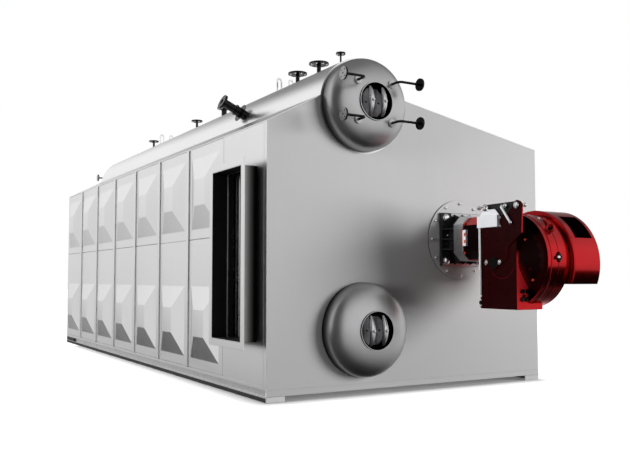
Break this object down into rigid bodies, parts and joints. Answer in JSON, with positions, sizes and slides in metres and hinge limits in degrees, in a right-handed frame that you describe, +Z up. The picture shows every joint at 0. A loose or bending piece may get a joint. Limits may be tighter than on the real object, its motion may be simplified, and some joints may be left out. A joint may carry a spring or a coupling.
{
  "type": "industrial boiler",
  "caption": "Packaged water-tube boiler: panelled casing on a steel base, upper and lower drums with dished heads and manholes, side flue outlet, flanged drum nozzles and a front burner.",
  "frame": {"origin": "centre of the bounding box at ground level, under the runners", "axes": "+Z up, +Y toward the rear, along the drums; the burner front faces -Y and the flue outlet side faces -X"},
  "size_m": [3.823, 10.2548, 3.64],
  "materials": {
    "casing": "light grey satin paint",
    "end_wall": "mid grey satin paint",
    "trim": "light grey satin paint",
    "black_paint": "black satin paint",
    "jacket": "smooth light sheet metal",
    "drum_steel": "dark steel with a soft polish",
    "bright_steel": "bright machined steel",
    "pipe_steel": "dark oiled steel",
    "burner_grey": "grey paint",
    "burner_dark": "dark grey casting",
    "burner_red": "glossy dark red paint",
    "box_white": "white plastic",
    "gland_black": "black plastic"
  },
  "bodies": {
    "root": {"skid_channels": "trim", "skid_runners": "black_paint", "end_beams": "trim", "corner_feet": "trim", "floor_plate": "trim", "front_wall": "end_wall", "rear_wall": "end_wall", "left_wall": "casing", "right_wall": "casing", "roof_sheets": "casing", "base_rails": "casing", "front_bay_skins": "casing", "left_panels": "casing", "right_panels": "casing", "panel_battens": "trim", "flue_outlet": "casing", "boiler_tubes": "pipe_steel", "upper_drum": "drum_steel", "drum_jacket": "jacket", "upper_heads": "drum_steel", "lower_drum": "drum_steel", "lower_heads": "drum_steel", "manhole_rims": "bright_steel", "manhole_covers": "drum_steel", "cover_yokes": "bright_steel", "gauge_pads": "drum_steel", "gauge_pipes": "pipe_steel", "safety_nozzles": "pipe_steel", "service_nozzles": "pipe_steel", "feedwater_nozzle": "pipe_steel", "feedwater_collar": "pipe_steel", "lifting_lugs": "bright_steel", "burner_plate": "burner_grey", "burner_flange": "burner_dark", "burner_bolts": "bright_steel", "burner_frame": "burner_grey", "burner_neck": "burner_red", "burner_housing": "burner_red", "burner_side_plate": "burner_red", "side_plate_fasteners": "bright_steel", "fan_casing": "burner_red", "fan_fittings": "black_paint", "fan_spigot": "black_paint", "air_intake": "burner_red", "control_box": "box_white", "lever_arm": "burner_dark", "link_rods": "bright_steel", "cable_glands": "gland_black", "terminal_block": "box_white"}
  },
  "joints": []
}
